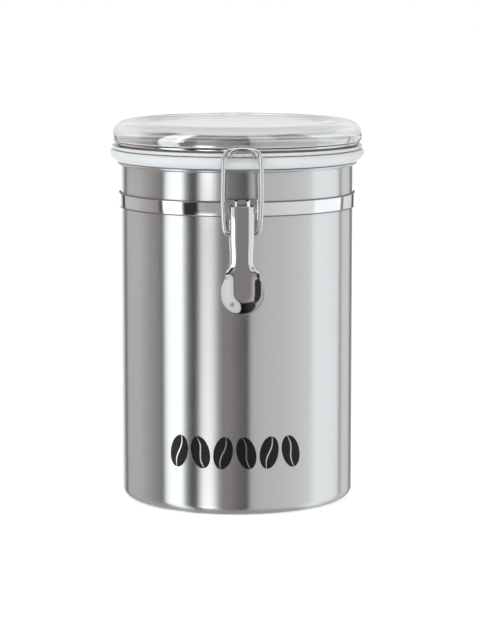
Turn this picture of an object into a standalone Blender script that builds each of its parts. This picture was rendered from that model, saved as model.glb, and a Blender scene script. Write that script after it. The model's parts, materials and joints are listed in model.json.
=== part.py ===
"""Steel food canister with a clear lid held down by a wire-bail clamp.

Metres, +Z up. The origin is the centre of the base's underside, the latch faces -Y
and the lid's hinge is at +Y. Every piece is one object with its own material.
"""

import math

import bmesh
import bpy
from mathutils import Matrix, Vector

# Steps in a full turn of the round pieces
TURN_STEPS = 64

# Canister body
BODY_RADIUS = 0.0585
BODY_WALL = 0.0007
BASE_EDGE = 0.0050
RIM_TOP = 0.1701
RIM_RADIUS = 0.0606
RIM_HEIGHT = 0.0014

# Lid: a clear moulding with a recessed disc, a round shoulder, a wire groove and a plug
LID_TOP = 0.1905
LID_WALL = 0.0022
SHOULDER_RADIUS = 0.0631
SHOULDER_ROUND = 0.0080
DISC_RADIUS = 0.0482
DISC_Z = 0.1877
RECESS_SLOPE = 0.0022
GROOVE_RADIUS = 0.0597
GROOVE_HALF_HEIGHT = 0.0015
FLANGE_RADIUS = 0.0628
FLANGE_BOTTOM = 0.1765
PLUG_RADIUS = 0.0567
PLUG_BOTTOM = 0.1662

# Silicone gasket, clipped round the plug under the flange
GASKET_INNER = 0.0570
GASKET_FOOT = 0.0609
GASKET_RADIUS = 0.0639
GASKET_BOTTOM = 0.1704
GASKET_TOP = 0.1762

# The gasket's outer line: (inward from its radius, up from its bottom)
GASKET_BULGE = ((0.0015, 0.0012), (0.0004, 0.0026), (0.0, 0.0039), (0.0002, 0.0051), (0.0009, 0.0058))

# Wire, and the ring of it in the lid's groove
WIRE = 0.0010
RING_RADIUS = 0.0611
RING_Z = 0.1797
RING_LEAVES = 0.0026
# Where the wire turns out of the ring: (x past the catch or the eye, reach past the ring)
RING_TO_CATCH = ((0.0004, 0.0009), (0.0012, 0.0001))
RING_TO_EYE = ((0.0011, 0.0001), (0.0003, 0.0010), (0.0, 0.0024))
CATCH_ROOT = 0.0040

# Band round the body, which carries the latch and the hinge
BAND_GAP = 0.0003
BAND_THICK = 0.0005
BAND_BOTTOM = 0.1473
BAND_TOP = 0.1547

# Stamped brackets, the same at the front and the back
SHEET = 0.0008
PLATE_HALF = 0.0078
PLATE_FACE = 0.0604
PLATE_BOTTOM = 0.1461
PLATE_TOP = 0.1558
EAR_OUTER = 0.0032
EAR_ROUND = 0.0019
PIN_RADIUS = 0.0009
PIN_HOLE = 0.0012
PIN_HEAD_RADIUS = 0.0015
PIN_HEAD_FACE = 0.0060
PIN_END = 0.0067

# Latch: the lever turns about LEVER_PIVOT and the bail about BAIL_PIVOT
PIVOT_OUT = 0.0645
PIVOT_Z = 0.1511
BAIL_OUT = 0.0629
BAIL_Z = 0.1398
BAR_OUT = 0.0670
BAR_Z = 0.1803
BAR_ARCH = 0.0005
BAIL_WIRE = 0.0011
BAIL_HOLE = 0.0014
BAIL_HALF = 0.0094
BAIL_NARROW = 0.0012
BAIL_SHOULDER = 0.0053
BAIL_BEND = 0.0030
BAIL_END = 0.0042

# Lever: a splayed channel that ends in a round dish. Distances run down from its pivot
LEVER_ABOVE = 0.0017
LEVER_WEB = 0.0030
LEVER_HALF_WIDTH = 0.0062
LEVER_FOLDS = ((0.52, 0.0), (0.90, 0.0015), (1.0, 0.0067))
LEVER_TAPER = 0.0004
LEVER_TAPER_ENDS = (0.0140, 0.0220)
LEVER_BEND = 0.05
LEVER_TOP_SHARE = 0.88
LEVER_TOP_ENDS = (0.0020, 0.0080)
FLARE = 0.0024
FLARE_ENDS = (0.0240, 0.0316)
FLANGE_FADES = (0.0262, 0.0300)
SPOON_CENTRE = 0.0395
SPOON_RADIUS = 0.0104
DISH_RISE = 0.0022
DISH_SIDE = (0.0040, 0.0108)
DISH_STARTS = (0.0294, 0.0340)

# Catch on the lid's wire, and the hinge wire
CATCH_HALF = 0.0062
CATCH_WRAP = 0.0024
CATCH_DROP = 0.0010
CATCH_ARCH = ((0.0054, -0.0014), (0.0041, -0.0005), (0.0026, 0.0001), (0.0010, 0.0003))
HINGE_OUT = 0.0685
HINGE_Z = 0.17735
HINGE_LEG = 0.0092
HINGE_FOOT = 0.0016
HINGE_BEND = 0.0024
EYE_X = 0.0045
EYE_RADIUS = 0.00235
EYE_TURN = math.radians(255)

# Small edge roundings, and how far cutters reach
EDGE = 0.0003
SOFT_EDGE = 0.0004
CUT_REACH = 0.010
PLATE_DEEP = 0.006
CRISP = 0.0001
LIP_ROUND = 0.0010
GROOVE_FLARE = 0.0012
INSIDE_STEP = 0.0006
EAR_SPARE = 0.0010

LEVER_PIVOT = Vector((0, -PIVOT_OUT, PIVOT_Z))
BAIL_PIVOT = Vector((0, -BAIL_OUT, BAIL_Z))
LID_PIVOT = Vector((0, HINGE_OUT, HINGE_Z))


def clear_scene():
    """Removes every object, so that the model starts from nothing."""
    for obj in list(bpy.data.objects):
        bpy.data.objects.remove(obj, do_unlink=True)


def new_collection(name):
    """A collection linked to the scene."""
    group = bpy.data.collections.new(name)
    bpy.context.scene.collection.children.link(group)
    return group


def finish_material(obj, colour, roughness, metallic):
    """Gives the object its own Principled material."""
    material = bpy.data.materials.new(obj.name)
    material.use_nodes = True
    shader = material.node_tree.nodes["Principled BSDF"]
    shader.inputs["Base Color"].default_value = (*colour, 1)
    shader.inputs["Roughness"].default_value = roughness
    shader.inputs["Metallic"].default_value = metallic
    material.diffuse_color = (*colour, 1)
    obj.data.materials.clear()
    obj.data.materials.append(material)


def brushed(obj):
    finish_material(obj, (0.62, 0.62, 0.61), 0.32, 1.0)


def polished(obj):
    finish_material(obj, (0.80, 0.80, 0.80), 0.08, 1.0)


def add_object(name, data, group, location=(0, 0, 0)):
    """An object of this data in a collection."""
    obj = bpy.data.objects.new(name, data)
    obj.location = location
    group.objects.link(obj)
    return obj


def mesh_object(name, bm, group, location=(0, 0, 0)):
    """An object from a bmesh, which is freed, shaded smooth between its sharp edges."""
    mesh = bpy.data.meshes.new(name)
    bm.to_mesh(mesh)
    bm.free()
    mesh.shade_smooth()
    mesh.set_sharp_from_angle(angle=math.radians(35))
    return add_object(name, mesh, group, location)


def arc(centre, radius, start, end, steps):
    """Points along an arc in a plane, both ends included, angles in degrees."""
    points = []
    for i in range(steps + 1):
        angle = math.radians(start + (end - start) * i / steps)
        points.append((centre[0] + radius * math.cos(angle), centre[1] + radius * math.sin(angle)))
    return points


def turned(name, profile, group, closed=False, steps=TURN_STEPS, location=(0, 0, 0)):
    """A solid of revolution about Z. The profile is (radius, height) and runs down its outer side."""
    bm = bmesh.new()
    verts = [bm.verts.new((r, 0, z)) for r, z in profile]
    for a, b in zip(verts, verts[1:]):
        bm.edges.new((a, b))
    if closed:
        bm.edges.new((verts[-1], verts[0]))
    obj = mesh_object(name, bm, group, location)
    screw = obj.modifiers.new("Turn", "SCREW")
    screw.steps = steps
    screw.render_steps = steps
    screw.use_merge_vertices = True
    screw.merge_threshold = 0.00001
    screw.use_smooth_shade = True
    return obj


def outline_mesh(points, half_thickness, group, name):
    """A flat outline of (x, y) points, thickened both ways along its Z, as a mesh object."""
    curve = bpy.data.curves.new(name, "CURVE")
    curve.dimensions = "2D"
    curve.fill_mode = "BOTH"
    curve.extrude = half_thickness
    spline = curve.splines.new("POLY")
    spline.points.add(len(points) - 1)
    for point, (x, y) in zip(spline.points, points):
        point.co = (x, y, 0, 1)
    spline.use_cyclic_u = True
    return curve_to_mesh(add_object(name, curve, group), group)


def curve_to_mesh(obj, group):
    """The curve object's solid as a mesh object of the same name and place, its caps welded."""
    name = obj.name
    bpy.context.view_layer.update()
    evaluated = obj.evaluated_get(bpy.context.evaluated_depsgraph_get())
    mesh = bpy.data.meshes.new_from_object(evaluated)
    matrix = obj.matrix_world.copy()
    bpy.data.objects.remove(obj, do_unlink=True)
    bm = bmesh.new()
    bm.from_mesh(mesh)
    bpy.data.meshes.remove(mesh)
    bmesh.ops.remove_doubles(bm, verts=bm.verts, dist=0.000005)
    bmesh.ops.recalc_face_normals(bm, faces=bm.faces)
    solid = mesh_object(name, bm, group)
    solid.matrix_world = matrix
    return solid


def wire(name, points, group, location=(0, 0, 0), radius=WIRE):
    """A round wire through the points, with its ends closed."""
    curve = bpy.data.curves.new(name, "CURVE")
    curve.dimensions = "3D"
    curve.bevel_depth = radius
    curve.bevel_resolution = 2
    curve.use_fill_caps = True
    spline = curve.splines.new("POLY")
    spline.points.add(len(points) - 1)
    for point, co in zip(spline.points, points):
        point.co = (*co, 1)
    return add_object(name, curve, group, location)


def rounded_path(corners, bend, steps=4):
    """The path through these corners, with each inner corner bent to about this radius."""
    corners = [Vector(c) for c in corners]
    path = [corners[0]]
    for before, corner, after in zip(corners, corners[1:], corners[2:]):
        into = before - corner
        out = after - corner
        half = into.angle(out) / 2
        reach = min(bend / math.tan(half), 0.45 * into.length, 0.45 * out.length)
        start = corner + into.normalized() * reach
        end = corner + out.normalized() * reach
        for i in range(steps + 1):
            t = i / steps
            path.append(start * (1 - t) ** 2 + corner * 2 * t * (1 - t) + end * t**2)
    path.append(corners[-1])
    return path


def cutter(obj):
    """Marks an object as a cutter, which isn't part of the model."""
    obj.hide_render = True
    obj.display_type = "WIRE"
    return obj


def cross_hole(name, radius, y, z, cutters):
    """A cutter for a hole along X through this point."""
    bm = bmesh.new()
    turn = Matrix.Rotation(math.pi / 2, 4, "Y")
    bmesh.ops.create_cone(
        bm, cap_ends=True, segments=20, radius1=radius, radius2=radius, depth=2 * CUT_REACH, matrix=turn
    )
    return cutter(mesh_object(name, bm, cutters, (0, y, z)))


def boolean(obj, other, operation):
    """Cuts, joins or intersects the object with another solid."""
    modifier = obj.modifiers.new(other.name, "BOOLEAN")
    modifier.operation = operation
    modifier.solver = "EXACT"
    modifier.object = other


def make_body(parts):
    """Drawn cup with a round bottom edge and a small rolled rim."""
    inside = BODY_RADIUS - BODY_WALL
    edge_centre = (BODY_RADIUS - BASE_EDGE, BASE_EDGE)
    rim_bottom = RIM_TOP - RIM_HEIGHT
    rim_round = RIM_HEIGHT / 2
    profile = [(0, BODY_WALL), (edge_centre[0] / 2, BODY_WALL)]
    profile += arc(edge_centre, BASE_EDGE - BODY_WALL, -90, 0, 3)
    profile += [(inside, RIM_TOP / 2), (inside, RIM_TOP - SOFT_EDGE), (inside + SOFT_EDGE, RIM_TOP)]
    profile += arc((RIM_RADIUS - rim_round, RIM_TOP - rim_round), rim_round, 90, -90, 3)
    profile += [(BODY_RADIUS + SOFT_EDGE, rim_bottom), (BODY_RADIUS, rim_bottom - SOFT_EDGE)]
    profile += [(BODY_RADIUS, RIM_TOP / 2)]
    profile += arc(edge_centre, BASE_EDGE, 0, -90, 5)
    profile += [(edge_centre[0] / 2, 0), (0, 0)]
    brushed(turned("canister_body", profile, parts))


def make_band(parts):
    """Polished strip pulled tight round the body."""
    inner = BODY_RADIUS + BAND_GAP
    outer = inner + BAND_THICK
    soft = BAND_THICK / 3
    profile = [
        (inner, BAND_BOTTOM),
        (inner, BAND_TOP),
        (outer - soft, BAND_TOP),
        (outer, BAND_TOP - soft),
        (outer, BAND_BOTTOM + soft),
        (outer - soft, BAND_BOTTOM),
    ]
    polished(turned("clamp_band", profile, parts, closed=True))


def lid_outside():
    """The lid's outer line from the axis to the plug's foot, as (radius, height)."""
    round_centre = (SHOULDER_RADIUS - SHOULDER_ROUND, LID_TOP - SHOULDER_ROUND)
    recess_top = DISC_RADIUS + RECESS_SLOPE
    groove_top = RING_Z + GROOVE_HALF_HEIGHT
    groove_low = RING_Z - GROOVE_HALF_HEIGHT
    line = [(0, DISC_Z), (DISC_RADIUS, DISC_Z)]
    line += [(recess_top, LID_TOP - SOFT_EDGE), (recess_top + LIP_ROUND, LID_TOP)]
    line += arc(round_centre, SHOULDER_ROUND, 90, -12, 7)
    line += [(GROOVE_RADIUS + GROOVE_FLARE, groove_top), (GROOVE_RADIUS, groove_top - SOFT_EDGE)]
    line += [(GROOVE_RADIUS, groove_low)]
    line += [(FLANGE_RADIUS - EDGE, groove_low), (FLANGE_RADIUS, groove_low - EDGE)]
    line += [(FLANGE_RADIUS, FLANGE_BOTTOM), (PLUG_RADIUS, FLANGE_BOTTOM), (PLUG_RADIUS, PLUG_BOTTOM)]
    return line


def lid_inside():
    """The lid's inner line from the plug's foot back up to the axis."""
    inner = PLUG_RADIUS - LID_WALL
    hollow = SHOULDER_ROUND - LID_WALL
    centre = (SHOULDER_RADIUS - SHOULDER_ROUND, LID_TOP - SHOULDER_ROUND)
    line = [(inner, PLUG_BOTTOM), (inner, RING_Z), (inner + INSIDE_STEP, RING_Z + GROOVE_HALF_HEIGHT)]
    line += arc(centre, hollow, -35, 90, 4)
    line += [(DISC_RADIUS + RECESS_SLOPE + LIP_ROUND, LID_TOP - LID_WALL)]
    line += [(DISC_RADIUS - INSIDE_STEP, DISC_Z - LID_WALL), (0, DISC_Z - LID_WALL)]
    return line


def make_lid(parts):
    """Clear lid. It is turned in the canister's frame and hangs from the hinge axis."""
    profile = [(r, z - HINGE_Z) for r, z in lid_outside() + lid_inside()]
    lid = turned("lid_shell", profile, parts, location=(0, 0, HINGE_Z))
    finish_material(lid, (0.90, 0.90, 0.90), 0.05, 0.0)


def make_gasket(parts):
    """Soft ring that closes the joint between the lid and the rim."""
    bulge = [(GASKET_FOOT, GASKET_BOTTOM)]
    bulge += [(GASKET_RADIUS - inward, GASKET_BOTTOM + up) for inward, up in GASKET_BULGE]
    profile = [(GASKET_INNER, GASKET_BOTTOM), (GASKET_INNER, GASKET_TOP), *reversed(bulge)]
    gasket = turned("lid_gasket", profile, parts, closed=True)
    finish_material(gasket, (0.86, 0.88, 0.89), 0.45, 0.0)


def catch_corners():
    """The half of the catch on +X: under the bail's bar from behind it, and up in front of it."""
    corners = []
    for degrees in (205, 230, 255, 280, 305, 330):
        angle = math.radians(degrees)
        reach = CATCH_WRAP * math.cos(angle)
        rise = CATCH_WRAP * math.sin(angle)
        corners.append(Vector((CATCH_HALF, -(BAR_OUT + reach), BAR_Z - CATCH_DROP + rise)))
    for x, rise in CATCH_ARCH:
        corners.append(Vector((x, -(BAR_OUT + CATCH_WRAP), BAR_Z + rise)))
    return corners


def ring_half():
    """The ring wire on +X, from the middle of the catch round to the end of the rear eye."""
    catch = list(reversed(catch_corners()))
    leave = math.asin((CATCH_HALF + RING_LEAVES) / RING_RADIUS)
    arrive = math.pi - math.asin((EYE_X + RING_LEAVES) / RING_RADIUS)
    ring = []
    steps = 32
    for i in range(steps + 1):
        angle = leave + (arrive - leave) * i / steps
        ring.append(Vector((RING_RADIUS * math.sin(angle), -RING_RADIUS * math.cos(angle), RING_Z)))
    out_of_ring = [Vector((CATCH_HALF, -(BAR_OUT - CATCH_ROOT), RING_Z))]
    for aside, out in RING_TO_CATCH:
        out_of_ring.append(Vector((CATCH_HALF + aside, -(RING_RADIUS + out), RING_Z)))
    into_eye = []
    for aside, out in RING_TO_EYE:
        into_eye.append(Vector((EYE_X + aside, RING_RADIUS + out, RING_Z)))
    eye = []
    turns = 10
    for i in range(turns + 1):
        angle = EYE_TURN * i / turns
        y = HINGE_OUT + EYE_RADIUS * math.sin(angle)
        eye.append(Vector((EYE_X, y, HINGE_Z + EYE_RADIUS * math.cos(angle))))
    return catch + out_of_ring + ring + into_eye + eye


def make_ring_wire(parts):
    """One wire: the catch at the front, the ring in the lid's groove, and an eye at each end."""
    half = ring_half()
    other = [Vector((-p.x, p.y, p.z)) for p in half]
    points = [p - LID_PIVOT for p in list(reversed(other)) + half]
    polished(wire("lid_ring_wire", points, parts, LID_PIVOT))


def ear_outline():
    """Side view of a bracket's ears as (reach from the plate's back, height above the pin)."""
    pin = PIVOT_OUT - PLATE_FACE + SHEET
    bottom = PLATE_BOTTOM - PIVOT_Z
    top = PLATE_TOP - PIVOT_Z
    foot = SHEET + EDGE
    outline = [(-SHEET, bottom), (foot, bottom), (foot + EDGE, bottom + SHEET)]
    outline += [(pin + x, z) for x, z in arc((0, 0), EAR_ROUND, -80, 150, 10)]
    outline += [(foot + EDGE, top - SHEET), (foot, top), (-SHEET, top)]
    return outline


def bracket_plan():
    """Plan view of a bracket as (x, reach from the plate's back): a plate with two ears."""
    inner = EAR_OUTER - SHEET
    tip = PIVOT_OUT + EAR_ROUND + EAR_SPARE - PLATE_FACE + SHEET
    bend = SHEET - CRISP
    half = [(0, SHEET), (inner - bend, SHEET), (inner, SHEET + bend), (inner, tip)]
    half += [(EAR_OUTER, tip), (EAR_OUTER, SHEET + bend), (EAR_OUTER + bend, SHEET)]
    half += [(PLATE_HALF - SOFT_EDGE, SHEET), (PLATE_HALF, SHEET - SOFT_EDGE), (PLATE_HALF, 0)]
    return half + [(-x, y) for x, y in reversed(half[1:])]


def make_bracket(name, side, parts, cutters):
    """Stamped bracket welded to the band, front (side -1) or back (side 1)."""
    plan = outline_mesh([(x, side * y) for x, y in bracket_plan()], PLATE_DEEP, parts, name)
    root = side * (PLATE_FACE - SHEET)
    plan.location = (0, root, PIVOT_Z)
    shape = outline_mesh(ear_outline(), CUT_REACH, cutters, name + "_side")
    shape.rotation_euler = (math.pi / 2, 0, side * math.pi / 2)
    shape.location = (0, root, PIVOT_Z)
    boolean(plan, cutter(shape), "INTERSECT")
    hole = cross_hole(name + "_hole", PIN_HOLE, side * PIVOT_OUT, PIVOT_Z, cutters)
    boolean(plan, hole, "DIFFERENCE")
    polished(plan)


def make_pin(parts):
    """Headed pin that the lever turns on, along X."""
    profile = [
        (0, PIN_END),
        (PIN_HEAD_RADIUS - EDGE, PIN_END),
        (PIN_HEAD_RADIUS, PIN_END - EDGE),
        (PIN_HEAD_RADIUS, PIN_HEAD_FACE),
        (PIN_RADIUS, PIN_HEAD_FACE),
        (PIN_RADIUS, -PIN_HEAD_FACE),
        (PIN_HEAD_RADIUS, -PIN_HEAD_FACE),
        (PIN_HEAD_RADIUS, -PIN_END + EDGE),
        (PIN_HEAD_RADIUS - EDGE, -PIN_END),
        (0, -PIN_END),
    ]
    pin = turned("lever_pivot_pin", profile, parts, steps=20, location=LEVER_PIVOT)
    pin.rotation_euler = (0, math.pi / 2, 0)
    polished(pin)


def smooth_step(value, low, high):
    """0 below low, 1 above high, and an even S between."""
    t = min(max((value - low) / (high - low), 0), 1)
    return t * t * (3 - 2 * t)


def lever_half_width(drop):
    """Half the lever's width at this distance below its pivot."""
    off_centre = drop - SPOON_CENTRE
    round_half = math.sqrt(max(SPOON_RADIUS**2 - off_centre**2, 0))
    if off_centre > 0:
        return round_half
    neck_half = LEVER_HALF_WIDTH - LEVER_TAPER * smooth_step(drop, *LEVER_TAPER_ENDS)
    return max(round_half, neck_half + FLARE * smooth_step(drop, *FLARE_ENDS))


def bent(past):
    """0 before a bend and the distance past it after, with a round bend between."""
    if abs(past) < LEVER_BEND:
        return (past + LEVER_BEND) ** 2 / (4 * LEVER_BEND)
    return max(0, past)


def folded_back(across, drop):
    """How far the splayed shoulders and the side walls lie behind the lever's face."""
    depth = 0
    slope = 0
    for (start, high), (end, low) in zip(LEVER_FOLDS, LEVER_FOLDS[1:]):
        steeper = (low - high) / (end - start)
        depth += (steeper - slope) * bent(abs(across) - start)
        slope = steeper
    share = LEVER_TOP_SHARE + (1 - LEVER_TOP_SHARE) * smooth_step(drop, *LEVER_TOP_ENDS)
    return depth * share * (1 - smooth_step(drop, *FLANGE_FADES))


def raised_rim(x, drop):
    """How far the dish's sides and bottom stand in front of its flat middle."""
    spread = math.hypot(x, max(drop - SPOON_CENTRE, 0))
    return DISH_RISE * smooth_step(spread, *DISH_SIDE) * smooth_step(drop, *DISH_STARTS)


def lever_surface(across, along):
    """The lever's outer face: across is -1 to 1 over its width, along is 0 at the top, 1 at the tip."""
    neck_share = 0.45
    neck_end = FLARE_ENDS[0]
    if along < neck_share:
        drop = -LEVER_ABOVE + (neck_end + LEVER_ABOVE) * along / neck_share
    else:
        turn = (along - neck_share) / (1 - neck_share) * math.pi / 2
        tip = SPOON_CENTRE + 0.992 * SPOON_RADIUS
        drop = neck_end + (tip - neck_end) * math.sin(turn) ** 1.15
    x = across * lever_half_width(drop)
    forward = LEVER_WEB - folded_back(across, drop) + raised_rim(x, drop)
    return Vector((x, -forward, -drop))


def make_lever(parts, cutters):
    """Pressed lever, with holes for its pin and for the bail's ends."""
    bm = bmesh.new()
    bmesh.ops.create_grid(bm, x_segments=14, y_segments=26, size=1)
    for vert in bm.verts:
        vert.co = lever_surface(vert.co.x, (1 - vert.co.y) / 2)
    lever = mesh_object("latch_lever", bm, parts, LEVER_PIVOT)
    shell = lever.modifiers.new("Sheet", "SOLIDIFY")
    shell.thickness = SHEET
    shell.offset = -1
    shell.use_even_offset = True
    pin_hole = cross_hole("lever_pin_hole", PIN_HOLE, -PIVOT_OUT, PIVOT_Z, cutters)
    boolean(lever, pin_hole, "DIFFERENCE")
    bail_hole = cross_hole("lever_bail_hole", BAIL_HOLE, -BAIL_OUT, BAIL_Z, cutters)
    boolean(lever, bail_hole, "DIFFERENCE")
    polished(lever)


def make_bail(parts):
    """Wire loop from the lever's holes up to the bar in the lid's catch."""
    up = Vector((0, -BAR_OUT, BAR_Z)) - BAIL_PIVOT
    length = up.length
    rise = up.normalized()
    half = [
        (BAIL_END, 0),
        (BAIL_HALF - BAIL_NARROW, 0),
        (BAIL_HALF - BAIL_NARROW / 3, 0.17 * length),
        (BAIL_HALF, 0.45 * length),
        (BAIL_HALF - BAIL_NARROW / 4, length - BAIL_SHOULDER),
        (BAIL_HALF - BAIL_NARROW, length - BAIL_SHOULDER / 3),
        (CATCH_HALF, length - BAR_ARCH),
        (CATCH_HALF / 2, length - BAR_ARCH / 5),
        (0, length),
    ]
    corners = [Vector((-x, 0, 0)) + rise * s for x, s in half]
    corners += [Vector((x, 0, 0)) + rise * s for x, s in reversed(half[:-1])]
    polished(wire("latch_bail", rounded_path(corners, BAIL_BEND), parts, BAIL_PIVOT, BAIL_WIRE))


def make_hinge_wire(parts):
    """Fixed wire at the back: its feet sit in the bracket and its bar carries the lid's eyes."""
    foot = Vector((0, PIVOT_OUT, PIVOT_Z))
    bar = LID_PIVOT
    corners = [
        foot + Vector((HINGE_FOOT, 0, 0)),
        foot + Vector((HINGE_LEG, 0, 0)),
        bar + Vector((HINGE_LEG, 0, 0)),
        bar,
    ]
    other = [Vector((-c.x, c.y, c.z)) for c in reversed(corners[:-1])]
    path = rounded_path(corners + other, HINGE_BEND)
    polished(wire("rear_hinge_wire", [p - foot for p in path], parts, foot, PIN_RADIUS))


def main():
    clear_scene()
    parts = new_collection("food_canister")
    cutters = new_collection("cutters")
    make_body(parts)
    make_band(parts)
    make_lid(parts)
    make_gasket(parts)
    make_ring_wire(parts)
    make_bracket("latch_bracket", -1, parts, cutters)
    make_bracket("rear_hinge_bracket", 1, parts, cutters)
    make_pin(parts)
    make_lever(parts, cutters)
    make_bail(parts)
    make_hinge_wire(parts)


main()
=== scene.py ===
"""The looks of the food canister: fine meshes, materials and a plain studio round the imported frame.

Metres, +Z up, the latch at -Y and the lid's hinge at +Y, as in the frame.
"""

import json
import math

import bmesh
import bpy
from mathutils import Matrix, Vector


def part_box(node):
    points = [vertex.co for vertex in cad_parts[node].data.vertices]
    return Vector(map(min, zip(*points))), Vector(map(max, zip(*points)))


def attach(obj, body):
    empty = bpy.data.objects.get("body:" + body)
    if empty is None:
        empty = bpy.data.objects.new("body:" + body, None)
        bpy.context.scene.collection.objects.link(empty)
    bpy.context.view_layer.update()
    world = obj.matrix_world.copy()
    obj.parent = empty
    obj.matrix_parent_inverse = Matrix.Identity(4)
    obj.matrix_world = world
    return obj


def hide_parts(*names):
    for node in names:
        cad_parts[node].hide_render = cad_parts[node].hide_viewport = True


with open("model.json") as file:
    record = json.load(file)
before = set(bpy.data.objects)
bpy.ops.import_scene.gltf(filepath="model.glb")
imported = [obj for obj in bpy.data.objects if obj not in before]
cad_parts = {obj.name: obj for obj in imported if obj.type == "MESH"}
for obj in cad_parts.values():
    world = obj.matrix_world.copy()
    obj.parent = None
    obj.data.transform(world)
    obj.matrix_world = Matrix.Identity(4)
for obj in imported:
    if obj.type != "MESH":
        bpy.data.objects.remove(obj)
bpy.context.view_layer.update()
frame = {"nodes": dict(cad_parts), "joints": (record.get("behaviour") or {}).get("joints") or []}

MM = 0.001
TURN_STEPS = 192

# Places read from the frame
BODY_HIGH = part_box("canister_body")[1]
BAND_LOW, BAND_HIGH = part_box("clamp_band")
LID_LOW, LID_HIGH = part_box("lid_shell")
GASKET_LOW, GASKET_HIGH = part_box("lid_gasket")
JOINTS = {joint["name"]: Vector(joint["pos_m"]) for joint in frame["joints"]}
LEVER_PIVOT = JOINTS["lever_pivot"]
BAIL_PIVOT = JOINTS["bail_pivot"]
LID_PIVOT = JOINTS["lid_hinge"]

# Canister body
BODY_RADIUS = 58.5 * MM
BODY_WALL = 0.7 * MM
BASE_EDGE = 5.0 * MM
SEAM = 0.3 * MM
SEAM_ENDS = (-58, -62)
RIM_TOP = BODY_HIGH.z
RIM_RADIUS = BODY_HIGH.x
RIM_HEIGHT = 1.4 * MM
RIM_FILLET = 0.5 * MM
ROWS_UP_INSIDE = (0.03, 0.08, 0.13)
ROWS_DOWN_OUTSIDE = (0.14, 0.10, 0.06, 0.03)

# Clamp band
BAND_GAP = 0.3 * MM
BAND_CORNER = 0.24 * MM
# Painted shade: how far the dark line reaches in from the band's low and high edges, and how softly it
# fades. It stands in for the shadow in the gap to the body
EDGE_SHADE_LOW = 0.45 * MM
EDGE_SHADE_HIGH = 0.40 * MM
EDGE_SHADE_FADE = 0.3 * MM

# Lid
LID_TOP = LID_HIGH.z
LID_WALL = 2.2 * MM
SHOULDER_RADIUS = LID_HIGH.x
SHOULDER_ROUND = 8.0 * MM
DISC_RADIUS = 48.2 * MM
DISC_Z = LID_TOP - 2.8 * MM
RECESS_SLOPE = 2.2 * MM
RING_RADIUS = 61.1 * MM
RING_BEND = 2.6 * MM
RING_Z = LID_TOP - 10.8 * MM
GROOVE_RADIUS = 59.7 * MM
GROOVE_HALF_HEIGHT = 1.5 * MM
FLANGE_RADIUS = 62.8 * MM
FLANGE_BOTTOM = LID_TOP - 14.0 * MM
PLUG_RADIUS = 56.7 * MM
PLUG_BOTTOM = LID_LOW.z
LIP_SPREAD = 0.3 * MM
LIP_SPREAD_INSIDE = 1.2 * MM
DISC_STEP_INSIDE = 0.6 * MM
GROOVE_STEP_INSIDE = 0.4 * MM
LID_CORNER = 0.35 * MM
GASKET_INNER = 57.0 * MM
GASKET_FOOT = 60.9 * MM
GASKET_CORNER = 0.9 * MM

# Latch and wires
WIRE = 1.0 * MM
SHEET = 0.8 * MM
BAR = Vector((0, -67.0 * MM, 180.3 * MM))
BAR_ARCH = 0.5 * MM
CATCH_HALF = 6.2 * MM
CATCH_WRAP = 2.4 * MM
CATCH_DROP = 1.0 * MM
CATCH_TURN = (205, 336, 13)
CATCH_ARCH = ((5.4, -1.4), (4.1, -0.5), (2.6, 0.1), (1.0, 0.3))
BAIL_WIRE = 1.1 * MM
BAIL_HALF = 9.4 * MM
BAIL_NARROW = 1.2 * MM
BAIL_SHOULDER = 5.2 * MM
BAIL_BEND = 3.0 * MM
BAIL_END = 4.2 * MM
BAIL_HOLE = 1.4 * MM
PIN_RADIUS = 0.9 * MM
PIN_HOLE = 1.2 * MM
EYE_X = 4.5 * MM
EYE_RADIUS = 2.35 * MM
EYE_TURN = math.radians(255)
HINGE_LEG = 9.2 * MM
HINGE_FOOT = 1.6 * MM
HINGE_BEND = 2.4 * MM

# Lever: its distances run down from its pivot
LEVER_ABOVE = 1.7 * MM
LEVER_WEB = 3.0 * MM
LEVER_HALF_WIDTH = 6.2 * MM
LEVER_FOLDS = ((0.52, 0), (0.90, 1.5 * MM), (1.0, 6.7 * MM))
LEVER_TAPER = 0.4 * MM
LEVER_TAPER_ENDS = (14 * MM, 22 * MM)
LEVER_BEND = 0.05
LEVER_TOP_SHARE = 0.88
LEVER_TOP_ENDS = (2 * MM, 8 * MM)
FLARE = 2.4 * MM
FLARE_ENDS = (24 * MM, 31.6 * MM)
FLANGE_FADES = (26.2 * MM, 30 * MM)
SPOON_CENTRE = 39.5 * MM
SPOON_RADIUS = 10.4 * MM
DISH_RISE = 2.2 * MM
DISH_SIDE = (4.0 * MM, 10.8 * MM)
DISH_STARTS = (29.4 * MM, 34 * MM)
LEVER_NECK_SHARE = 0.45
LEVER_TIP_SHARE = 0.992
LEVER_ROW_POWER = 1.15

# Printed row of beans
BEAN_COUNT = 6
BEAN_SPACING = 11.4 * MM
BEAN_SIZE = (9.6 * MM, 16.0 * MM)
BEAN_MIDDLE = Vector((-3.4 * MM, 31.5 * MM))
BEAN_TILTS = (-10, 14)
BEAN_ROUND = 0.985
CREASE_SWING = 0.16
CREASE_GAP = 0.07
CREASE_LEAST = 0.01
INK = 0.03 * MM

# Camera: it stands a little to the left of the latch and looks slightly down
CAMERA_AZIMUTH = math.radians(-2.2)
CAMERA_DISTANCE = 1.350
CAMERA_HEIGHT = 0.281
CAMERA_LENS = 151.5
CAMERA_LOOK_Z = 0.0889
CAMERA_LOOK_RIGHT = 0.0015


# ---------------------------------------------------------------- nodes


def shader_tree(name):
    """A new material, its node tree and its Principled shader."""
    material = bpy.data.materials.new(name)
    material.use_nodes = True
    tree = material.node_tree
    return material, tree, tree.nodes["Principled BSDF"]


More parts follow.
